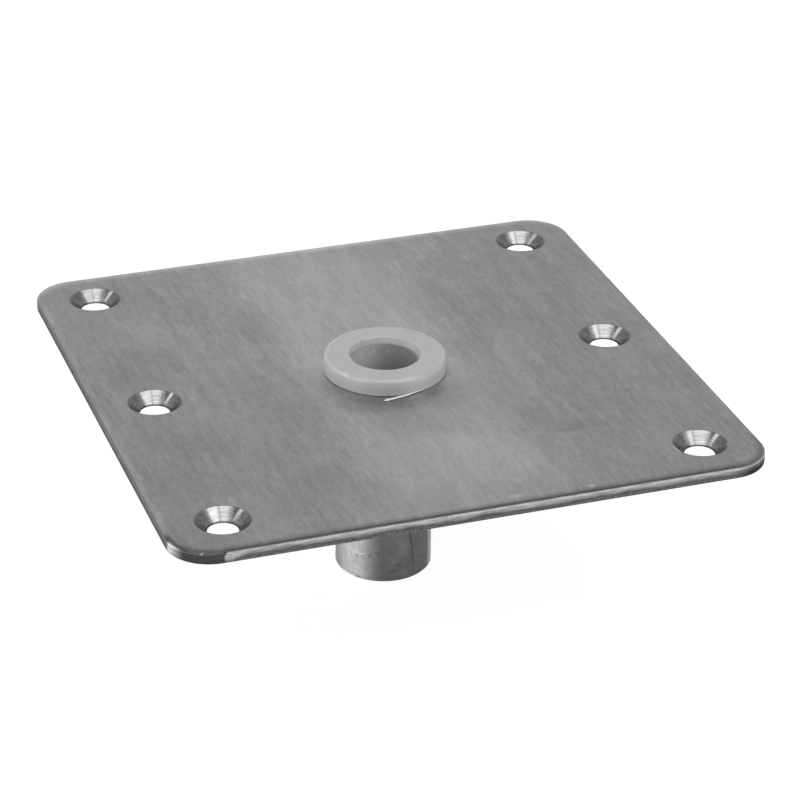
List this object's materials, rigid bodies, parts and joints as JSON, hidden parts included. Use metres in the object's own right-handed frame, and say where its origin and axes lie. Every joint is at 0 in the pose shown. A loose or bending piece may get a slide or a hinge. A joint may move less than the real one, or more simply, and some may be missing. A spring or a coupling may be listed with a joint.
{
  "type": "pedestal deck plate",
  "caption": "Square stainless deck plate with rounded corners and countersunk screw holes, a welded socket tube under its middle and a flanged nylon bushing for a seat post pin.",
  "frame": {"origin": "on the axis of the pin bore, in the plane of the plate's underside, which lies on the deck", "axes": "+Z along the bore, up out of the deck; +X across the plate from one row of screw holes to the other; +Y along the rows"},
  "size_m": [0.1778, 0.1778, 0.0715],
  "materials": {
    "brushed_plate": "stainless sheet, brushed in one direction, with a rolled top edge and a blanked side",
    "drawn_tube": "drawn stainless tube, smooth, lightly scuffed",
    "weld_metal": "stainless weld bead, rippled, with a faint heat tint",
    "natural_nylon": "moulded natural nylon, satin, slightly translucent"
  },
  "bodies": {
    "root": {"deck_plate": "brushed_plate", "socket_tube": "drawn_tube", "weld_bead": "weld_metal", "pin_bushing": "natural_nylon"}
  },
  "joints": []
}
